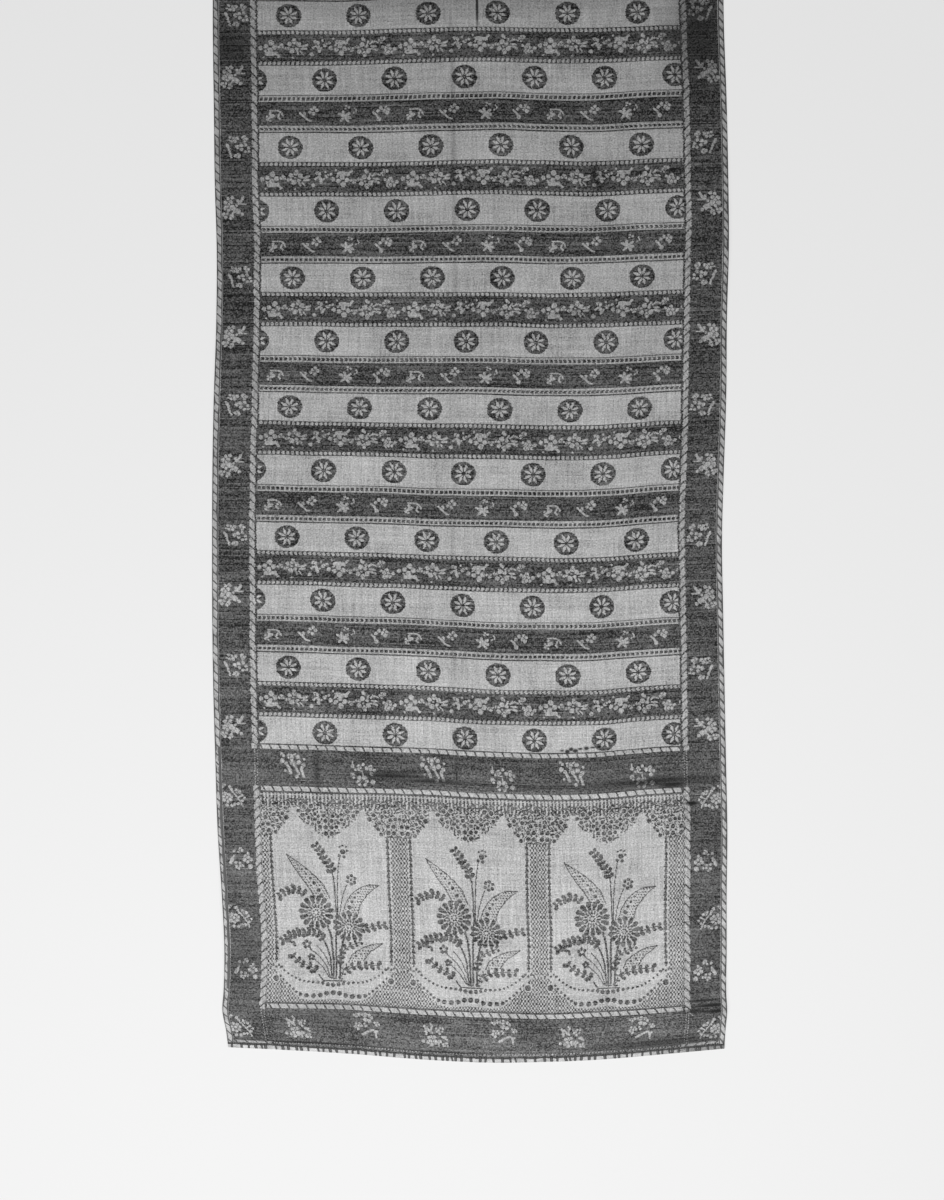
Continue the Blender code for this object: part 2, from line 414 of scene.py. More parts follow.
CROSS_SPRIG_1 = (
    (
        (-11.1, 11.7, 1.3), (-8.9, 9.8, 1.5), (-10.6, 4.6, 2.4), (-6.7, 2.3, 1.7),
        (-3.7, 10.4, 1.6), (-3.7, 8, 1.2), (-0.3, 9.4, 2.2), (2.8, 11, 1.5), (5.5, 9, 2.1),
        (0, 3.3, 2.6), (1.7, 1.5, 2.1), (6.1, 3.3, 2.3), (-1, 5.8, 1.6), (11.7, 6.7, 1.2),
        (11.1, 0.6, 2.1), (9.4, -1.6, 1.7), (-7.8, -5, 1.3), (3.9, -11, 1.8),
    ),
    (
        (1.5, (-5.5, 0.6), (-2.8, -4.4), (-2.2, -7.2)), (1.1, (1.7, 0), (5.6, -6.1), (6.1, -8.3)),
        (1.3, (8.3, -2.8), (10, -6.1), (11.1, -10.6)),
    ),
)
CROSS_SPRIG_2 = (
    (
        (-9.9, 7.2, 1.7), (-6.7, 3.9, 1.4), (-3.9, 7.4, 1.9), (-3.9, 5, 1.4), (0.5, 9.4, 1.5),
        (-2, 6, 1.1), (-10, -1.1, 2.2), (-8.9, -3.8, 1.3), (4.2, 5.6, 2), (8.1, 7, 2),
        (8.1, 4.8, 1.8), (11.7, 3.9, 1.6), (8.9, 0, 2), (-3.3, -4.4, 2.4), (1.7, -4.1, 2.5),
        (-5, -7.8, 1.3), (3.9, -7.2, 1.8), (-3.3, -11, 1.4), (2.2, -11, 1.7), (10, -8.2, 2.3),
    ),
    ((0.9, (-10.2, 11.7), (-9.9, 7)), (0.6, (-4.4, 3.3), (0, 2.8), (0.5, -2.8))),
)
HEM_SPRIG_1 = (
    (
        (-8.9, 3.3, 1.5), (3.3, 4.4, 2.2), (5.6, 7.2, 1.1), (8.3, 6.7, 1.2), (7.8, 3.9, 1),
        (4.4, 1.7, 1.2), (1.7, 6.5, 1), (-3.3, -2.2, 2), (-0.6, -1.7, 1.6), (0, -6.7, 2.6),
        (-3.9, -9.4, 2.1), (-6.1, -2.8, 1.8), (-7.2, -7.2, 1.9), (-5, -5.6, 1.6),
        (-12.2, -6.7, 1.6), (5.6, -6.1, 1.2), (8.9, -9.4, 2.2), (11.1, -7.8, 1.4),
        (12.2, -10.5, 1.2),
    ),
    (
        (1, (-3.9, 11.1), (-2.2, 8.9), (-3.9, 5), (-2.8, 1.7)),
        (1, (-10.5, 8.9), (-8.3, 3.9), (-8.9, 0.5)), (1, (-7.8, 7.2), (-4.4, 2.8)),
        (1, (7.2, -1.1), (11.1, -1.1)), (0.9, (8.3, -2.2), (12.2, -3.9)),
        (1, (3.9, -5), (3.3, -10.5)),
    ),
)
HEM_SPRIG_2 = (
    (
        (-9.4, 8.3, 2.3), (-11.6, 8.3, 1.3), (-6.7, 9.4, 1.5), (-2.8, 9.4, 1.7), (0, 10, 1.5),
        (-0.6, 7.6, 1.7), (3.9, 8.9, 1.8), (6.1, 6.7, 1.5), (-0.6, 4.4, 2.2), (3.3, 3.3, 2),
        (-10, 0, 1.4), (-6.7, 0, 1.5), (-7.8, -2.4, 1.5), (-11.1, -3.3, 1.7), (-8.9, -5.5, 1.5),
        (-5, -2.2, 1.3), (-1.7, 0, 1.3), (-0.6, -2.2, 1.3), (11.1, 0.5, 2.4), (13.2, 0.2, 1.2),
        (9, 2, 1.2),
    ),
    (
        (1.2, (-4.4, -10.5), (-1.1, -8.9), (1.4, -7.5)), (1.2, (3.6, -6.6), (6.7, -5.5)),
        (1, (8.3, -6.7), (11.1, -6.7)), (1.1, (8.9, -8.3), (9.4, -12.8)),
    ),
)

# The plant of the end panel's niches. Its places are in threads from its foot.
SPRAYS = (
    # pairs of leaflets, their length and half width, then the stem from foot to tip
    (7, 5.9, 1.85, ((0.1, 106.5), (-3.5, 115.5), (-8.5, 123.5), (-15.5, 132.5))),
    (6, 5.6, 1.9, ((-29, 84), (-32.5, 87.5), (-39.5, 88.5), (-47.5, 86.5), (-54, 82.9))),
    (10, 5.6, 1.9, ((-13, 39), (-19.5, 44.9), (-28.5, 46.9), (-37.5, 45.5), (-46.5, 42.9), (-54, 38.5))),
    (5, 5.8, 1.95, ((-20, 7), (-22.5, 9.5), (-30.5, 13.5), (-37.5, 15.5), (-42.5, 21.5))),
    (4, 5.4, 1.8, ((31, 51.8), (36.5, 52.9), (43.5, 54.9), (49.9, 55.5))),
    (7, 4.8, 1.5, ((3.5, 14.5), (5.5, 22.5), (9.5, 29.5), (16.5, 33.5), (24.5, 36.9))),
    (6, 5.5, 1.9, ((11, 7), (16.5, 11.5), (26.5, 14.1), (35.5, 14.5), (42.5, 14.1))),
    (4, 3.0, 1.0, ((4.5, -1), (7, 4), (8, 9), (11, 12))),
)
STEMS = (
    # half width, then the points
    (1.1, (-1.9, -0.5), (-2.5, 22.5), (-4.5, 40.5), (-7.5, 52.5)),
    (0.75, (0.5, -0.5), (0.5, 44.5), (2, 64.5), (1.5, 80.5), (0.9, 98.5), (0.1, 106.5)),
    (1.1, (4.5, -0.5), (4.9, 22.5), (7.5, 36.5), (10.5, 43.5)),
    (0.9, (-3.9, -0.5), (-5.9, 22.5), (-9.5, 32.5), (-13.5, 39.5)),
    (0.55, (8.1, 122.5), (6.1, 112.5), (4.5, 98.5), (3.5, 80.5), (3.5, 64.5)),
    (0.55, (13.8, 94.5), (10.5, 86.5), (7.5, 76.5), (5.5, 64.5)),
    (0.55, (-26.5, 29.5), (-17.5, 22.5), (-9.5, 12.5), (-5.5, 0.5)),
    (0.55, (-19.5, 32.5), (-11.5, 23.5), (-6.5, 12.5)),
    (0.55, (-21.5, 18.5), (-13.5, 11.5), (-6.5, 0.5)),
    (0.8, (-17.1, 3.5), (-12.5, -2.5)),
    (1.4, (-47.1, 36.5), (-43.1, 35.9), (-41.9, 32.5)),
    (0.6, (-13, -3), (10, -3)),
)
# Each leaf's two edges, from its tip to its foot, and the dots along its middle
LEAVES = (
    (
        ((-45.9, 123.5), (-36.5, 117.5), (-26.5, 110.5), (-17.5, 102.5), (-9.5, 93.5), (-4, 80)),
        ((-45.9, 123.5), (-39.5, 112.5), (-31.5, 100.5), (-24.5, 90.5), (-19.5, 82)),
        (
            (-34.5, 113.5, 0.6), (-30.5, 109.1, 0.8), (-26.5, 104.5, 1), (-22.5, 100.1, 1.2),
            (-19.5, 95.5, 1.5), (-15.1, 88.5, 1.8), (-12.5, 82.9, 2),
        ),
    ),
    (
        (
            (46.9, 95.1), (36.5, 95.1), (30.5, 93.1), (22.5, 88.5), (16.5, 82.5), (11.5, 74.5),
            (9, 67),
        ),
        ((46.9, 95.1), (40.5, 90.5), (34.5, 84.5), (28.5, 77.5), (25.5, 70.5), (24.5, 65)),
        (
            (25.5, 86.5, 0.8), (21.5, 81.5, 1.1), (18.5, 77.1, 1.4), (15.7, 71.5, 1.8),
            (14.5, 66.1, 1.9),
        ),
    ),
    (
        ((48.1, 36.5), (38.5, 35.5), (30.5, 32.5), (22.5, 28.5), (16.5, 23.5), (13.5, 16.5)),
        ((48.1, 36.5), (41.5, 31.5), (35.5, 27.5), (31.5, 22.5), (28.5, 18.1)),
        ((21, 23, 0.9), (26, 25, 0.9)),
    ),
)
PLANT_DOTS = (
    (11.5, 127.5, 2.7), (8.5, 132.1, 1.1), (11.5, 133.5, 1.2), (14.9, 132.5, 1.1),
    (15.9, 128.5, 1.4), (7.7, 123.5, 1.7), (12.5, 122.5, 1.6), (18.5, 99.5, 1.3),
)
# Blossoms: centre, petals, how far out they stand, half width, and how tall to wide
BLOSSOMS = (
    ((-18.5, 66.1), 15, 13.8, 2.5, 0.97),
    ((14.5, 52.5), 14, 12.8, 2.3, 0.88),
)
SMALL_FLOWERS = (
    # centre, how far out the petals stand, petals, and their radius
    ((18.5, 99.5), 4.2, 6, 1.9),
    ((-29.5, 34.1), 3.2, 5, 1.8),
    ((-25.1, 21.1), 2.4, 5, 1.6),
)

# The garland over a niche: its lower edge and the berries of its right half, in
# threads from the niche's middle and the plant's foot
GARLAND_EDGE = (
    (0, 143), (6, 143), (10, 145), (14, 149), (22, 155), (28, 160), (32, 168), (37, 172),
    (41, 164), (45, 156), (48, 150), (53, 146), (58, 142), (71, 142),
)
GARLAND_DOTS = (
    (3, 145.5, 2.4), (3, 151.5, 2.4), (3.2, 158, 2.2), (8.4, 152, 2.1), (10, 156.5, 2),
    (4.5, 163, 2.1), (10, 162.5, 1.9), (13.6, 159.5, 2), (13.5, 165, 1.8), (20.5, 169, 3.3),
    (17, 172.5, 2.5), (24, 171.5, 2.4), (26, 163.5, 2.2), (30, 167.5, 2.2), (20, 161, 1.8),
    (16, 155, 1.7), (42.5, 160.5, 2.5), (46.5, 164.5, 2.2), (43, 170, 1.9), (50.5, 150.5, 2),
    (53.5, 145.5, 2.1), (52, 157, 1.9), (55, 163, 2.1), (60.7, 147, 2.4), (60.7, 153.5, 2.3),
    (66.3, 147, 2.4), (66.3, 153.5, 2.3), (63.5, 160, 2.2), (68.5, 161, 2.1), (58, 168, 1.9),
)
# The chains under a niche, from its middle and the plant's foot
UPPER_CHAIN = (
    (0, -6.9, 2.4), (5.5, -6.6, 2.3), (10.5, -5.5, 1.9), (15.5, -4.9, 1.7), (20.5, -4.4, 1.5),
    (25.5, -4, 1.4), (30, -3.3, 1.3), (34.5, -2, 1.3), (38.5, -0.3, 1.2), (42.5, 2, 1.2),
    (46.5, 4.5, 1.2), (50.5, 7.5, 1.2), (54, 10.5, 1.3),
)
LOWER_CHAIN = (
    (0, -15.1, 2.7), (6.6, -15.7, 2.6), (13, -17.7, 2.5), (20, -18.5, 2.6), (27.2, -18.2, 2.5),
    (33.3, -17, 2.1), (37.5, -14.6, 1.6), (40.8, -11.8, 1.5), (44.5, -8.5, 1.5), (48, -5.5, 1.4),
    (51.5, -1.8, 1.3), (54.6, 1.6, 1.3),
)
HATCH_TOP = (
    (0, -21.5), (22, -23.5), (32, -21.5), (38, -17.5), (43, -12.5), (48, -8), (52, -3.5), (56, 2),
    (60, 8), (71, 12),
)
# How far the columns stand from a niche's middle, and the dots at their feet
COLUMN = 59.1
COLUMN_FOOT = ((53, 11, 1.3), (56, 12.5, 1.3), (59, 11, 1.3), (62, 12.5, 1.3), (65, 11, 1.3))


def smooth(places, values, at):
    """A smooth line through the values, read at each place asked for.

    values has a number for each place, or one such row for each place asked for.
    """
    places = np.asarray(places, float)
    values = np.asarray(values, float)
    slopes = np.gradient(values, places, axis=-1)
    step = np.clip(np.searchsorted(places, at) - 1, 0, len(places) - 2)
    gap = places[step + 1] - places[step]
    t = np.clip((at - places[step]) / gap, 0, 1)

    def read(table, index):
        if table.ndim == 1:
            return table[index]
        return np.take_along_axis(table, index[..., None], axis=-1)[..., 0]

    rise = t * t * (3 - 2 * t)
    bend = t * (1 - t) * gap * ((1 - t) * read(slopes, step) - t * read(slopes, step + 1))
    return read(values, step) * (1 - rise) + read(values, step + 1) * rise + bend


def on_ridge(dx, dy, turn, half_length, half_width):
    """How far along a ridge and beside it a place lies, as shares of its half sizes."""
    angle = np.radians(turn)
    run = (dx * np.cos(angle) + dy * np.sin(angle)) / half_length
    side = (dy * np.cos(angle) - dx * np.sin(angle)) / half_width
    return run, side


def lift(across, along):
    """How far the cloth's underside stands off the surface. Near half, millimetres."""
    folds = np.zeros(np.shape(across))
    for middle, row, *form, rise in FOLDS:
        run, side = on_ridge(across - middle, along - row, *form)
        reach = np.clip(1 - run**2, 0, 1) * np.clip(1 - side**2, 0, 1)
        folds = np.maximum(folds, rise * reach**1.5)
    creases = np.zeros(np.shape(across))
    for middle, row, *form, rise in CREASES:
        dx = across - middle + 2.5 * np.sin(along / 23 + row)
        dy = along - row + 1.5 * np.sin(across / 19 + middle)
        run, side = on_ridge(dx, dy, *form)
        creases += rise * np.exp(-(side**2) * 2.2 - run**4)
    return np.maximum(folds + creases, 0)


def lie(across, along):
    """Where a point of the weave lies: x, y and the underside's z, in millimetres."""
    across, along = np.broadcast_arrays(np.asarray(across, float), np.asarray(along, float))
    far = along > LENGTH / 2
    near_along = np.where(far, LENGTH - along, along)
    near_share = np.where(far, 1 - across / WIDTH, across / WIDTH)
    places, left_in, right_in = np.array(EDGES).T
    left = -WIDTH / 2 + smooth(places, left_in, near_along)
    right = WIDTH / 2 - smooth(places, right_in, near_along)
    place = left + (right - left) * near_share
    places, *columns = np.array(BOW).T
    lines = np.stack([smooth(places, column, near_along) for column in columns], axis=-1)
    bow = smooth(BOW_ACROSS, lines, place)
    turned = np.where(far, -1, 1)
    y = -LENGTH / 2 + near_along - bow
    return place * turned, y * turned, lift(place, near_along)


class Chart:
    """A pattern on squared paper: which of its cells are dark. It is drawn in threads."""

    def __init__(self, width, height, dark, repeats=True):
        self.width = width
        self.repeats = repeats
        columns = round(width * THREAD / CELL)
        rows = RAMP_ROWS * round(height * THREAD / CELL / RAMP_ROWS)
        self.x = (np.arange(columns) + 0.5)[None, :] * width / columns
        self.y = (np.arange(rows) + 0.5)[:, None] * height / rows
        self.dark = np.full((rows, columns), dark)

    def away(self, x, y):
        """How far each cell lies from a point, the shorter way round a repeat."""
        dx = self.x - x
        if self.repeats:
            dx = (dx + self.width / 2) % self.width - self.width / 2
        return dx, self.y - y

    def box(self, x, y, half_width, half_height, dark):
        dx, dy = self.away(x, y)
        self.dark[(abs(dx) <= half_width) & (abs(dy) <= half_height)] = dark

    def band(self, low, high, dark):
        self.dark[(self.y[:, 0] >= low) & (self.y[:, 0] < high)] = dark

    def dot(self, x, y, radius, dark, high=1.0):
        dx, dy = self.away(x, y)
        self.dark[dx**2 + (dy / high) ** 2 <= radius**2] = dark

    def dots(self, dots, x, y, rings=((0, True),), hands=(1,)):
        """Draws dots about a point, each in rings: how much wider it is, and if dark."""
        for across, along, radius in dots:
            for hand in hands:
                for wider, dark in rings:
                    self.dot(x + across * hand, y + along, radius + wider, dark)

    def line(self, half_width, points, dark):
        for start, end in zip(points, points[1:]):
            dx, dy = self.away(*start)
            run = np.subtract(end, start)
            share = np.clip((dx * run[0] + dy * run[1]) / max(run @ run, 1e-6), 0, 1)
            off = np.hypot(dx - share * run[0], dy - share * run[1])
            self.dark[off <= half_width] = dark

    def inside(self, points, x, y):
        """Which cells lie inside a closed outline about a point."""
        dx, dy = np.broadcast_arrays(*self.away(x, y))
        inside = np.zeros(dx.shape, bool)
        for (ax, ay), (bx, by) in zip(points, points[1:] + points[:1]):
            if ay == by:
                continue
            crosses = (dy >= min(ay, by)) & (dy < max(ay, by))
            inside ^= crosses & (dx < ax + (dy - ay) * (bx - ax) / (by - ay))
        return inside

    def motif(self, motif, x, y, turn=(1, 1), size=0.97):
        """Draws a light motif. size is how full its dots and lines are."""
        dots, lines = motif
        for across, along, radius in dots:
            place = (x + across * turn[0], y + along * turn[1])
            self.dot(*place, size * radius + MOTIF_HALO, True)
            self.dot(*place, size * radius + 0.1, False)
        for half_width, *points in lines:
            self.line(size * half_width, np.multiply(points, turn) + (x, y), False)

    def rope(self, low, high, phase):
        """A light rope along x, cut by slanting dark lines and edged dark."""
        edge, cut, lean = 1.4, 1.8, 0.6
        self.band(low - edge, high + edge, True)
        self.band(low, high, False)
        slant = self.x + (self.y - (low + high) / 2) * lean - phase
        cuts = slant % (FIELD_REPEAT / ROPE_CUTS) < cut
        self.dark |= cuts & (self.y > low) & (self.y < high)

    def guard(self, low, high, left, lean):
        """The light guard beside a side border, between two places along."""
        pitch = BAND_REPEAT / GUARD_CUTS
        cut, fullness = 1.7, 1.1
        inside = (self.y >= low) & (self.y < high)
        turn = (self.y + (self.x - left - 2.5) * lean) % pitch
        bulge = fullness * np.sin(np.pi * turn / pitch)
        light = (self.x > left + 0.9 - bulge) & (self.x < left + 4.7 + bulge)
        self.dark[inside & light & (turn > cut)] = False

    def lattice(self):
        """Where the small checks of the panel's columns are dark."""
        wave = np.cos(2 * np.pi * self.x * CHECKS / FIELD_REPEAT)
        return wave * np.cos(np.pi * self.y / CHECK_HEIGHT) > -0.02

    def rosette(self, x, y):
        """A dark disc with eight pointed light petals."""
        half_wide, half_high = 12.7, 11.8
        half_petal, fullest = 1.3, 5.6
        self.dot(x, y, half_wide, True, high=half_high / half_wide)
        dx, dy = self.away(x, y)
        for petal in range(8):
            angle = np.radians(22.5 + 45 * petal)
            out = dx * np.cos(angle) + dy * np.sin(angle)
            side = abs(dy * np.cos(angle) - dx * np.sin(angle))
            self.dark[side < half_petal - 0.085 * (out - fullest) ** 2] = False

    def spray(self, pairs, length, half_width, stem, x, y):
        """Pairs of leaflets along a stem, which runs from its foot to its tip."""
        rng = np.random.default_rng(pairs)
        stem = np.add(stem, (x, y))
        self.line(0.5, stem, True)
        run = np.r_[0, np.cumsum(np.hypot(*np.diff(stem, axis=0).T))]
        for at in np.linspace(0, run[-1], pairs):
            places = (at - 1, at, at + 1)
            back, foot, ahead = np.stack([np.interp(places, run, axis) for axis in stem.T], -1)
            way = (ahead - back) / np.hypot(*(ahead - back))
            for hand in BOTH:
                size = rng.uniform(0.82, 1.15)
                side = way * 0.62 + np.array((-way[1], way[0])) * 0.78 * hand
                leaf = (foot + side * 2.2, foot + side * (length * size - half_width))
                self.line(half_width * size, leaf, True)


def field_chart():
    """One repeat of the field: light band, flower band, light band, sprig band."""
    chart = Chart(FIELD_REPEAT, BAND_REPEAT, False)
    half = FIELD_REPEAT / 2
    for step in (0, half):
        chart.rosette(66.5 + step, LIGHT_ROWS / 2)
        chart.rosette(31.0 + step, FLOWER_ROWS[1] + LIGHT_ROWS / 2)

    chart.band(*FLOWER_ROWS, True)
    middle = sum(FLOWER_ROWS) / 2
    for step, flip in ((0, 1), (half, -1)):
        chart.motif(FLOWER_1, 12.5 + step, middle + flip, (1, flip), 1.08)
        chart.motif(FLOWER_2, 34.5 + step, middle + 1.5 * flip, (1, flip), 1.08)
    chart.motif(FLOWER_3, 60, middle + 1, size=1.1)
    chart.motif(FLOWER_4, 130.5, middle - 1, size=1.1)
    beads = (np.arange(BEADS) + 0.5) * FIELD_REPEAT / BEADS
    for x in beads:
        for y in (FLOWER_ROWS[0] + 2.7, FLOWER_ROWS[1] - 2.7):
            chart.dot(x, y, 1.65, False, high=1.15)

    chart.band(*SPRIG_ROWS, True)
    middle = sum(SPRIG_ROWS) / 2
    for number, sprig in enumerate((SPRIG_1, SPRIG_2, SPRIG_3, SPRIG_4)):
        chart.motif(sprig, 16 + half / 2 * number, middle - 0.5, size=1.0)
    for edge, inward in zip(SPRIG_ROWS, (1, -1)):
        low, high = sorted((edge + 1.2 * inward, edge + 7.6 * inward))
        chart.band(low, high, False)
        for x in beads:
            chart.box(x, edge + 4.4 * inward, 1.6, 1.5, True)
    chart.band(SPRIG_ROWS[1] - 0.7, SPRIG_ROWS[1], False)
    return chart.dark


def field_border_chart():
    """A side border along the field, from the selvage to the field."""
    chart = Chart(BORDER_THREADS, BAND_REPEAT, True, repeats=False)
    chart.guard(0, BAND_REPEAT, 31.8, 1)
    chart.motif(BORDER_SPRIG_1, 12.4, 17.5, size=1.08)
    chart.motif(BORDER_SPRIG_2, 16.0, 78.7, size=1.08)
    return chart.dark


def end_border_chart():
    """A side border along the end zone."""
    chart = Chart(BORDER_THREADS, END_ROWS, True, repeats=False)
    panel = (chart.y > PANEL_ROWS[0]) & (chart.y < PANEL_ROWS[1]) & (chart.x > 37.0)
    chart.dark &= ~panel
    chart.dark |= panel & chart.lattice()
    chart.guard(44.4, 269.0, 31.5, -1)
    chart.guard(306, END_ROWS, 31.0, 1)
    lumps = (chart.x * 0.9 + chart.y) % 9.4
    chart.dark &= ~((abs(chart.y - 7.8) < 1.6) & (lumps > 1.7))
    for along in np.concatenate((np.arange(10, 44, 2.7), np.arange(270, 306, 2.7))):
        chart.box(33.6, along, 0.5, 0.8, False)
        chart.box(36.4, along + 1.2, 0.4, 0.5, False)
    for along in (23.5, 137.5, 258):
        chart.motif(END_SPRIG_1, 11.4, along)
    for along in (83, 193.5):
        chart.motif(END_SPRIG_2, 14.8, along)
    return chart.dark


def draw_plant(chart, x, y):
    """The flowering plant of a niche, dark on the light ground."""
    fine = ((chart.x + 0.6 * chart.y) % 2.9 < 1.5) & (chart.y % 2.7 < 1.4)
    for upper, lower, middle in LEAVES:
        chart.dark |= chart.inside(upper + lower[::-1], x, y) & fine
        for edge in (upper, lower):
            chart.line(0.55, np.add(edge, (x, y)), True)
        chart.dots(middle, x, y, ((1.4, False), (0.4, True)))
    for half_width, *points in STEMS:
        chart.line(half_width, np.add(points, (x, y)), True)
    for spray in SPRAYS:
        chart.spray(*spray, x, y)
    chart.dots(PLANT_DOTS, x, y)
    for (across, along), petals, out, half_width, squash in BLOSSOMS:
        centre = np.array((x + across, y + along))

        def place(angle, radius):
            return centre + radius * np.array((np.cos(angle), squash * np.sin(angle)))

        def stroke(width, angle, inner, outer):
            chart.line(width, [place(angle, inner), place(angle, outer)], True)

        chart.dot(*centre, out - 2, False)
        for petal in range(petals):
            angle = 2 * np.pi * (petal + 0.3) / petals
            stroke(half_width, angle, out + 0.4, out + 1.9)
            stroke(half_width - 0.9, angle, out - 3.4, out)
            stroke(0.9, angle + 0.2, 5.4, out - 5.6)
        for seed in range(7):
            chart.dot(*place(2 * np.pi * seed / 7, 2.6), 1.0, True)
    for (across, along), out, petals, radius in SMALL_FLOWERS:
        for petal in range(petals):
            angle = 2 * np.pi * petal / petals + 0.4
            at = (x + across + out * np.cos(angle), y + along + out * np.sin(angle))
            chart.dot(*at, radius, True)


def draw_niche(chart, x, y):
    """The panel round one niche: garland, columns, chains and hatching."""
    up = chart.y - y
    reach = abs(chart.away(x, y)[0])
    edge = np.interp(reach, *zip(*GARLAND_EDGE))
    comb = (chart.x % (FIELD_REPEAT / 38) < 1.9) & ((up + 0.6) % 3.6 > 0.7)
    chart.dark |= comb & (up > 171) & (up < 185.5) & (up > edge)
    rng = np.random.default_rng(7)
    for row in np.arange(143, 181, 3.0):
        for column in range(LEAF_COLUMNS):
            beside = column + rng.uniform(-0.25, 0.25) - LEAF_COLUMNS // 2
            across = beside * FIELD_REPEAT / LEAF_COLUMNS
            along = row + rng.uniform(-0.8, 0.8)
            if along > np.interp(abs(across), *zip(*GARLAND_EDGE)):
                leaf = rng.uniform(-1.5, 1.5, 2)
                place = np.array((x + across, y + along))
                chart.line(rng.uniform(0.6, 1.05), (place - leaf, place + leaf), True)
    chart.dark |= chart.lattice() & (up < np.interp(reach, *zip(*HATCH_TOP)))
    chart.dark |= chart.lattice() & (reach > 61) & (up >= 12) & (up < 145)
    chart.dots(GARLAND_DOTS, x, y, ((0.7, False), (0, True)), BOTH)
    chart.dots(UPPER_CHAIN + LOWER_CHAIN, x, y, hands=BOTH)
    bell = (up % 5.7) / 5.7
    off_column = abs(reach - COLUMN)
    chart.dark[(off_column < 2.6) & (up > 12) & (up < 143)] = False
    chart.dark |= (off_column < 2.1 - 1.5 * bell) & (up > 15) & (up < 143)
    chart.dots([(COLUMN, -0.5, 3.1)], x, y, ((1.3, False), (0, True)), BOTH)
    chart.dots(COLUMN_FOOT, x, y, hands=BOTH)


def end_chart():
    """The end zone between the side borders, from the near end to the field."""
    chart = Chart(FIELD_REPEAT, END_ROWS, True)
    chart.dark &= ~((abs(chart.y - 7.7) < 0.6) & ((chart.x + chart.y) % 4.7 > 1.2))
    chart.band(*PANEL_ROWS, False)
    draw_niche(chart, *NICHE)
    draw_plant(chart, *PLANT)
    for rope in ROPES:
        chart.rope(*rope)
    chart.motif(HEM_SPRIG_1, 30.0, 25.6)
    chart.motif(HEM_SPRIG_2, 100.8, 31.8)
    chart.motif(CROSS_SPRIG_1, 32.8, 289.8)
    chart.motif(CROSS_SPRIG_2, 103.3, 283.8)
    return chart.dark


def feed(node, inputs):
    """Sets a node's inputs, by name or number: wires are linked, and numbers are set."""
    for place, value in inputs.items():
        if isinstance(value, Wire):
            value.tree.links.new(value.socket, node.inputs[place])
        else:
            node.inputs[place].default_value = value


def add_node(tree, kind, inputs, **settings):
    """Makes a shader node, and gives its outputs as wires."""
    node = tree.nodes.new("ShaderNode" + kind)
    for name, value in settings.items():
        setattr(node, name, value)
    feed(node, inputs)
    return [Wire(socket) for socket in node.outputs]


class Wire:
    """A value in a shader. Arithmetic on it makes Math nodes."""

    def __init__(self, socket):
        self.socket = socket
        self.tree = socket.id_data

    def math(self, operation, *values):
        return add_node(self.tree, "Math", dict(enumerate(values)), operation=operation)[0]

    def __add__(self, other):
        return self.math("ADD", self, other)

    def __sub__(self, other):
        return self.math("SUBTRACT", self, other)

    def __rsub__(self, other):
        return self.math("SUBTRACT", other, self)

    def __mul__(self, other):
        return self.math("MULTIPLY", self, other)

    def __truediv__(self, other):
        return self.math("DIVIDE", self, other)

    def __rpow__(self, other):
        return self.math("POWER", other, self)

    def floor(self):
        return self.math("FLOOR", self)

    def exponent(self):
        return self.math("EXPONENT", self)

    def over(self, period):
        """What is left over whole periods."""
        return self.math("FLOORED_MODULO", self, period)

    def at_least(self, other):
        return self.math("MAXIMUM", self, other)

    def at_most(self, other):
        return self.math("MINIMUM", self, other)

    def above(self, limit):
        """1 above the limit, else 0, and below likewise."""
        return self.math("GREATER_THAN", self, limit)

    def below(self, limit):
        return self.math("LESS_THAN", self, limit)

    def near(self, middle, reach=0.1):
        """1 within reach of the middle, else 0."""
        return self.math("COMPARE", self, middle, reach)

    def between(self, low, high):
        return self.near((low + high) / 2, (high - low) / 2)


def row_ramp(cells, step):
    """A ramp whose steps are rows of up to STRIP cells."""
    ramp = step.tree.nodes.new("ShaderNodeValToRGB")
    ramp.color_ramp.interpolation = "CONSTANT"
    stops = ramp.color_ramp.elements
    stops.remove(stops[1])
    stops[0].position = 0
    for index in range(1, len(cells)):
        stops.new(index / RAMP_ROWS)
    digits = np.zeros((len(cells), STRIP))
    digits[:, : cells.shape[1]] = cells
    colours = np.ones((len(cells), 4))
    colours[:, :3] = digits.reshape(-1, 3, DIGITS) @ 2.0 ** np.arange(DIGITS)
    stops.foreach_set("color", colours.ravel())
    feed(ramp, {0: step})
    return Wire(ramp.outputs[0])


def choose(share, first, second):
    """The second colour where share is 1, and the first where it is 0."""
    return add_node(share.tree, "Mix", {0: share, 6: first, 7: second}, data_type="RGBA")[2]


def read_chart(cells, column, row):
    """1 where the chart is dark in that column and row, and 0 elsewhere."""
    column = column.floor()
    row = row.floor()
    block = (row / RAMP_ROWS).floor()
    step = (row + 0.5) / RAMP_ROWS - block
    rows, columns = cells.shape
    total = None
    for first in range(0, columns, STRIP):
        strip = cells[:, first : first + STRIP]
        words = row_ramp(strip[:RAMP_ROWS], step)
        for low in range(RAMP_ROWS, rows, RAMP_ROWS):
            ramp = row_ramp(strip[low : low + RAMP_ROWS], step)
            words = choose(block.near(low / RAMP_ROWS), words, ramp)
        place = column - first
        group = (place / DIGITS).floor()
        red, green, blue = add_node(words.tree, "SeparateColor", {0: words})
        word = red * group.near(0) + green * group.near(1) + blue * group.near(2)
        digit = (word / 2 ** (place - group * DIGITS)).floor().over(2)
        total = digit if total is None else total + digit
    return total


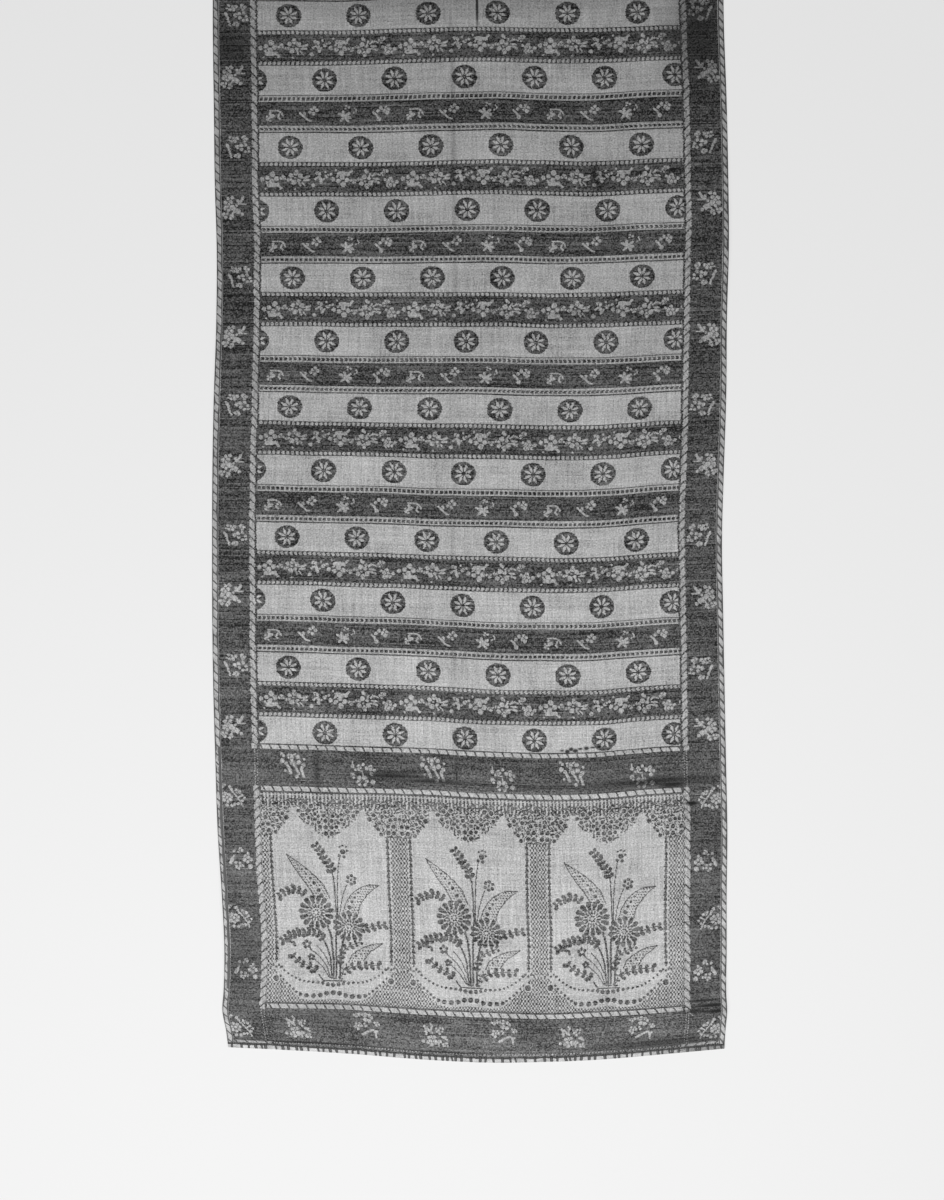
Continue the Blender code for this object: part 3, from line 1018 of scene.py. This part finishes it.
def noise(across, along, size, seed, detail=2.0):
    """Smooth noise about 0.5. size is how far its lumps reach across and along."""
    x = across / size[0] + seed
    y = along / size[1] + 3.7 * seed
    place = add_node(x.tree, "CombineXYZ", {0: x, 1: y})[0]
    inputs = {"Vector": place, "Scale": 1.0, "Detail": detail, "Roughness": 0.6}
    return add_node(x.tree, "TexNoise", inputs, noise_dimensions="2D")[0]


def by_line(number):
    """A number from 0 to 1 for each whole line."""
    inputs = {"W": number.floor()}
    return add_node(number.tree, "TexWhiteNoise", inputs, noise_dimensions="1D")[0]


def spread(*parts):
    """The sum of noises about 0, each as strong as the number with it."""
    total = None
    for wire, strength in parts:
        part = (wire - 0.5) * strength
        total = part if total is None else total + part
    return total


def new_material(name, inputs):
    made = bpy.data.materials.new(name)
    made.use_nodes = True
    shader = made.node_tree.nodes["Principled BSDF"]
    feed(shader, inputs)
    return made, shader


def weave_place(shader):
    """Across and along in the weave, in millimetres."""
    place = add_node(shader.id_data, "UVMap", {}, uv_map="weave")[0]
    return add_node(shader.id_data, "SeparateXYZ", {0: place})[:2]


def paint(shader, dark, dark_tone, light_tone):
    """Puts a grey on the shader: one tone where dark is 1, the other where it is 0."""
    feed(shader, {"Base Color": dark * dark_tone + (1 - dark) * light_tone})


def relief(shader, height, distance):
    inputs = {"Strength": 1.0, "Distance": distance, "Height": height}
    feed(shader, {"Normal": add_node(height.tree, "Bump", inputs)[0]})


def marks_and_painted_shade(across, along):
    """How much darker the dark marks and the painted shade make a place. The heaviest one counts."""
    dimming = None
    for middle, row, half_across, half_along, darker in MARKS_AND_PAINTED_SHADE:
        dx = (across - middle) / half_across
        dy = (along - row) / half_along
        mark = ((dx * dx + dy * dy) * -1.2).exponent() * darker
        dimming = mark if dimming is None else dimming.at_least(mark)
    return dimming


def on_loose_thread(across, along, start_across, start_along, end_across, end_along):
    """1 on a loose thread between two places, else 0."""
    run_across = end_across - start_across
    run_along = end_along - start_along
    length = np.hypot(run_across, run_along)
    dx = across - start_across
    dy = along - start_along
    share = (dx * run_across + dy * run_along) / length**2
    share = share.at_least(0).at_most(1)
    dx = dx - share * run_across
    dy = dy - share * run_along
    return (dx * dx + dy * dy).below(0.1)


def silk(name, middle_chart, border_chart, start, height, dark_bands, panel, streaks):
    """The woven silk.

    The charts are height rows of threads high, from start in millimetres on. dark_bands
    are (low, high) in rows, and so is panel, which only an end zone has. streaks says
    how strong the short streaks, long streaks and specks of the dark silk are.
    """
    made, shader = new_material(name, {"Roughness": 0.55, "Specular IOR Level": 0.14})
    across, along = weave_place(shader)
    pick = by_line(along / CELL)
    slack = noise(across, along, (60, 45), 1.3) - 0.5
    x = across + (pick - 0.5) * CELL + slack * STRAY[0]
    y = along + (noise(across, along, (55, 70), 5.1) - 0.5) * STRAY[1]
    rows = (y - start) / THREAD
    if not panel:
        x = x + (by_line(along / STREAK + 0.3) - 0.5) * THICK_STRAY
        rows = rows.over(height)
    edge = x.at_most(WIDTH - x)
    inner = edge.above(BORDER)
    columns = ((x - BORDER) / THREAD).over(FIELD_REPEAT)
    row = rows * (middle_chart.shape[0] / height)
    middle = read_chart(middle_chart, columns * (middle_chart.shape[1] / FIELD_REPEAT), row)
    border = read_chart(border_chart, (edge - SELVAGE) / CELL, row)
    dark = middle * inner + border
    for thread in LOOSE_THREADS:
        dark = dark * (1 - on_loose_thread(across, along, *thread) * 0.8)

    banded = 1 - inner
    for low, high in dark_bands:
        banded = banded.at_least(rows.between(low, high))
    picks = ((along + slack * 0.5) / STREAK).floor()
    ends = (across / STREAK).floor()
    weft = noise(across, picks, (2.0, BY_LINE), 2.2)
    long_weft = noise(across, picks, (60, BY_LINE), 8.4)
    warp = noise(ends, along, (BY_LINE, 30), 4.4)
    grain = noise(across, along, (1.0, 0.9), 6.0, detail=1)
    cloud = noise(across, along, (40, 30), 9.0, detail=3)

    short, long, speck = streaks
    uneven = spread((weft, short), (long_weft, long), (pick, 0.5), (grain, speck), (cloud, 1.4))
    dark_tone = (uneven + 1).at_least(0.1) * DARK_SILK
    if panel:
        in_panel = rows.between(*panel) * inner
        in_hem_band = rows.between(*HEM_ROWS) * inner
        dark_tone = dark_tone * END_PALER * (in_panel * (PANEL_SILK / DARK_SILK - 1) + 1)
        dark_tone = dark_tone * (in_hem_band * 0.2 + 1)
    else:
        dark_tone = dark_tone * (1.05 - banded * 0.05)
    fine = spread((weft, 0.6), (long_weft, 0.55), (warp, 0.65), (grain, 1.2), (cloud, 0.5))
    thin = banded * ((weft - 0.5) * 2.4 + 0.05).at_least(0)
    light_tone = (fine + 1) * LIGHT_SILK * (1 - thin)
    # The dark marks and the painted shade of creases, folds and falling light darken both tones
    marks_and_shade_factor = (1 - marks_and_painted_shade(across, along) * ((weft + cloud) * 1.2)).at_least(0.08)
    paint(shader, dark, dark_tone * marks_and_shade_factor, light_tone * marks_and_shade_factor)
    pucker = noise(across, along, (22, 13), 13.0, detail=2)
    relief(shader, weft * 0.05 + grain * 0.1 + pucker, 0.0007)
    return made


def cord_material(name, hand, cut_share, end_narrower):
    """The twisted cord of a selvage, cut by dark turns and dark at its uneven edges."""
    made, shader = new_material(name, {"Roughness": 0.55})
    across, along = weave_place(shader)
    edge = across.at_most(WIDTH - across)
    slant = (along + across * hand).over(CORD_PITCH)
    cut = (slant / CORD_PITCH).below(cut_share)
    fine = noise(across, along, (0.8, 0.5), 2.0)
    shade = noise(across, along, (5, 9), 5.0)
    outer = ((shade - 0.5) * 2.5 + edge - 0.7).below(0)
    narrow = along.at_most(LENGTH - along).near(125, 82) * end_narrower
    inner = ((shade - 0.5) * -1.5 + edge + narrow - 3.2).above(0)
    dark = cut.at_least(outer).at_least(inner)
    light_tone = (spread((fine, 1.6), (shade, 0.9)) + 0.9) * LIGHT_SILK
    paint(shader, dark, ((fine - 0.5) * 0.6 + 1) * DARK_SILK, light_tone)
    relief(shader, fine, 0.0001)
    return made


def roll_material():
    """The rolled hem: light at its outer edge, dark towards the seam with the seam thread and painted
    shade, and duller towards the right.
    """
    made, shader = new_material("hem_roll", {"Roughness": 0.6})
    across, along = weave_place(shader)
    fine = noise(across, along, (0.6, 0.8), 2.0)
    shade = noise(across, along, (9, 3), 7.0)
    dimming = ((across - 290) / 60).at_least(0) * 0.6
    light_tone = (spread((fine, 1.4), (shade, 1.2)) + 1.0 - dimming) * LIGHT_SILK
    # Dark towards the seam: the seam thread, together with painted shade where the roll meets the cloth
    dark = ((shade - 0.5) * 2.2 + along.at_most(LENGTH - along)).above(2.6)
    paint(shader, dark, ((fine - 0.5) * 1.2 + 0.8) * DARK_SILK, light_tone)
    relief(shader, fine, 0.0001)
    return made


def stitch_material():
    made, shader = new_material("dark_thread", {"Roughness": 0.6})
    object_place = add_node(shader.id_data, "TexCoord", {})[3]
    inputs = {"Vector": object_place, "Scale": 900.0}
    fibres = add_node(shader.id_data, "TexNoise", inputs)[0]
    feed(shader, {"Base Color": (fibres + 0.5) * DARK_SILK})
    return made


def add_object(name, data):
    made = bpy.data.objects.new(name, data)
    bpy.context.scene.collection.objects.link(made)
    return made


def add_mesh(name, vertices, faces, finish):
    mesh = bpy.data.meshes.new(name)
    mesh.from_pydata(vertices, [], faces)
    mesh.materials.append(finish)
    mesh.shade_smooth()
    return add_object(name, mesh)


def grid_piece(name, across, along, extra, finish, mirrored=False):
    """A closed shell of cloth over a grid of places in the weave, in millimetres.

    extra is how much thicker than the wall it is, a number or one for each grid point.
    mirrored counts along from the far end in the material.
    """
    across, along = np.meshgrid(across, along)
    x, y, under = lie(across, along)
    top = np.stack((x, y, under + WALL + extra), axis=-1)
    low = np.stack((x, y, under), axis=-1)
    count = across.size
    vertices = np.concatenate((top.reshape(-1, 3), low.reshape(-1, 3))) * MM
    index = np.arange(count).reshape(across.shape)
    a, b = index[:-1, :-1].ravel(), index[:-1, 1:].ravel()
    c, d = index[1:, 1:].ravel(), index[1:, :-1].ravel()
    upper = np.stack((a, b, c, d), axis=-1)
    lower = upper[:, ::-1] + count
    ring = np.concatenate((index[0, :-1], index[:-1, -1], index[-1, :0:-1], index[:0:-1, 0]))
    after = np.roll(ring, -1)
    side = np.stack((ring + count, after + count, after, ring), axis=-1)
    faces = np.concatenate((upper, lower, side))
    piece = add_mesh(name, vertices.tolist(), faces.tolist(), finish)
    piece.data.set_sharp_from_angle(angle=np.radians(50))

    def corners(u, v):
        """Two numbers for each corner of each face, from two for each grid point."""
        place = np.stack((u.ravel(), v.ravel()), axis=-1)
        return np.concatenate((place, place))[faces]

    weave = corners(across, LENGTH - along if mirrored else along)
    piece.data.uv_layers.new(name="weave").data.foreach_set("uv", weave.ravel())
    # The map for baking has three strips: the underside, the sides and the face
    under_high, side_low, side_high, face_low = 0.10, 0.104, 0.116, 0.12
    width = across[0, -1] - across[0, 0]
    length = along[-1, 0] - along[0, 0]
    flat = corners((across - across[0, 0]) / width, (along - along[0, 0]) / length)
    sides = slice(2 * len(upper), None)
    flat[: len(upper), :, 1] = face_low + (1 - face_low) * flat[: len(upper), :, 1]
    flat[len(upper) : 2 * len(upper), :, 1] *= under_high
    step = 1 / len(side)
    flat[sides, :, 0] = np.arange(len(side))[:, None] / len(side) + np.array((0, step, step, 0))
    flat[sides, :, 1] = (side_low, side_low, side_high, side_high)
    piece.data.uv_layers.new(name="OFBake").data.foreach_set("uv", flat.ravel())
    return piece


def cloth_piece(name, low, high, finish, mirrored=False):
    """A stretch of the cloth between the selvages."""
    across = np.linspace(SELVAGE + SEAM / 2, WIDTH - SELVAGE - SEAM / 2, CLOTH_COLUMNS)
    along = np.linspace(low, high, round((high - low) / CLOTH_ROW_GAP) + 1)
    piece = grid_piece(name, across, along, 0, finish, mirrored)
    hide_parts("cloth")
    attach(piece, "root")


def rounded(places, low, high):
    """How round a bar stands between two places: 1 at its middle, 0 at its sides."""
    return np.clip(1 - ((places - (low + high) / 2) / ((high - low) / 2)) ** 2, 0, 1)


def selvage(name, low, high, hand, cut_share, end_narrower):
    """A corded edge, with a lump for each turn of its twist."""
    across = np.linspace(low, high, 7)
    start = HEM + SEAM / 2
    steps = round((LENGTH - 2 * start) / CORD_ROW_GAP)
    along = np.linspace(start, LENGTH - start, steps + 1)
    grid_across, grid_along = np.meshgrid(across, along)
    turn = ((grid_along + grid_across * hand) % CORD_PITCH) / CORD_PITCH
    lump = np.sqrt(np.clip(1 - (2 * ((turn + 0.415) % 1) - 1) ** 2, 0, 1))
    extra = SELVAGE_CROWN * rounded(grid_across, low, high) * (0.35 + 0.75 * lump)
    finish = cord_material(name, hand, cut_share, end_narrower)
    piece = grid_piece(name, across, along, extra, finish)
    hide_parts(name)
    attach(piece, "root")
    return piece


def hem(name, low, high, finish):
    """The rolled hem, round in section."""
    across = np.linspace(0, WIDTH, 233)
    along = np.linspace(low, high, 8)
    grid_across, grid_along = np.meshgrid(across, along)
    lumps = 0.25 * np.sin(grid_across * 1.13) * np.sin(grid_across * 0.29)
    extra = (HEM_CROWN + lumps) * rounded(grid_along, low, high)
    piece = grid_piece(name, across, along, extra, finish)
    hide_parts(name)
    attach(piece, "root")
    return piece


def stitches(name, far, finish):
    """Whip stitches of dark thread over a rolled hem, at uneven gaps."""
    rng = np.random.default_rng(3)
    rings, sides = 7, 6
    share = np.linspace(0, 1, rings)
    vertices, faces = [], []
    across = 3.0
    while across < WIDTH - 2:
        first = len(vertices)
        lean = rng.uniform(-0.5, 1.1)
        radius = rng.uniform(0.6, 1.1)
        reach = HEM + rng.uniform(-0.4, 0.8)
        along = reach - share * (reach - 0.05)
        x, y, under = lie(across + lean * share, along)
        over = HEM_CROWN * np.clip(1 - (2 * along / HEM - 1) ** 2, 0, 1)
        # Both ends of a stitch dip into the cloth
        z = under + WALL + over + 0.12 - 0.35 * (share > 0.95) - 0.45 * (share < 0.05)
        for ring in range(rings):
            for side in range(sides):
                angle = np.pi * side / 3
                out = radius * np.cos(angle)
                up = min(radius * 0.7, 0.5) * np.sin(angle)
                vertices.append((x[ring] + out, y[ring], z[ring] + up))
        for ring in range(first, first + (rings - 1) * sides, sides):
            for side in range(sides):
                a = ring + side
                b = ring + (side + 1) % sides
                faces.append((a, b, b + sides, a + sides))
        faces.append(tuple(range(first + sides - 1, first - 1, -1)))
        faces.append(tuple(range(len(vertices) - sides, len(vertices))))
        across += rng.choice((2.8, 3.8, 4.8, 6.4)) + rng.uniform(0, 0.8)
    vertices = np.array(vertices) * MM
    if far:
        vertices[:, :2] *= -1
    piece = add_mesh(name, vertices.tolist(), faces, finish)
    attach(piece, "root")
    return piece


def make_floor():
    """A plain pale floor, a hair under the sash."""
    inputs = {
        "Base Color": (0.2, 0.2, 0.2, 1),
        "Roughness": 0.9,
        "Specular IOR Level": 0.1,
        "Emission Color": (1, 1, 1, 1),
        "Emission Strength": 0.64,
    }
    made, _ = new_material("floor_paper", inputs)
    corners = [(x, y, -0.0002) for x, y in ((-12, -12), (12, -12), (12, 12), (-12, 12))]
    add_mesh("floor", corners, [(0, 1, 2, 3)], made)


def make_camera():
    """Straight over the near end, as the photograph was taken."""
    height = 3.0
    shown_long = 0.8076
    data = bpy.data.cameras.new("camera")
    data.sensor_width = 36.0
    data.lens = data.sensor_width * height / shown_long
    camera = add_object("camera", data)
    camera.location = (0.001, -LENGTH * MM / 2 + 0.3113, height)
    bpy.context.scene.camera = camera


def make_lights():
    """A dim studio, with a soft box past each end of the sash."""
    scene = bpy.context.scene
    world = bpy.data.worlds.new("studio")
    world.use_nodes = True
    feed(world.node_tree.nodes["Background"], {"Color": (1, 1, 1, 1), "Strength": 0.17})
    scene.world = world
    scene.view_settings.view_transform = "Standard"
    for hand in BOTH:
        data = bpy.data.lights.new("softbox", "AREA")
        data.shape = "RECTANGLE"
        data.size = 1.2
        data.size_y = 0.5
        data.energy = 13.0
        light = add_object("softbox", data)
        light.location = (hand * 0.12, hand * (LENGTH * MM / 2 + 0.20), 0.9)
        light.rotation_euler = (-hand * np.radians(22), 0, 0)


make_camera()
make_floor()
make_lights()

field_silk = silk(
    "field_silk",
    field_chart(),
    field_border_chart(),
    END_ZONE,
    BAND_REPEAT,
    (FLOWER_ROWS, SPRIG_ROWS),
    None,
    (4.5, 3.2, 3.7),
)
end_silk = silk(
    "end_silk",
    end_chart(),
    end_border_chart(),
    0,
    END_ROWS,
    ((0, 45), (269, 306)),
    PANEL_ROWS,
    (3.5, 1.9, 3.1),
)

left = selvage("selvage_left", 0, SELVAGE, 0.9, 0.2, 1)
right = selvage("selvage_right", WIDTH - SELVAGE, WIDTH, 1.3, 0.3, 0)
roll = roll_material()
near_hem = hem("hem_near", 0, HEM, roll)
far_hem = hem("hem_far", LENGTH - HEM, LENGTH, roll)
thread = stitch_material()
near_stitches = stitches("stitches_near", False, thread)
far_stitches = stitches("stitches_far", True, thread)

near_row = HEM + SEAM / 2
far_row = LENGTH - near_row
field_start = END_ROWS * THREAD
field_end = LENGTH - field_start
cloth_piece("cloth_near_end", near_row, field_start, end_silk)
cloth_piece("cloth_far_end", field_end, far_row, end_silk, True)
cuts = np.linspace(field_start, field_end, STRETCHES + 1)
for number in range(STRETCHES):
    cloth_piece(f"cloth_{number + 1}", cuts[number], cuts[number + 1], field_silk)
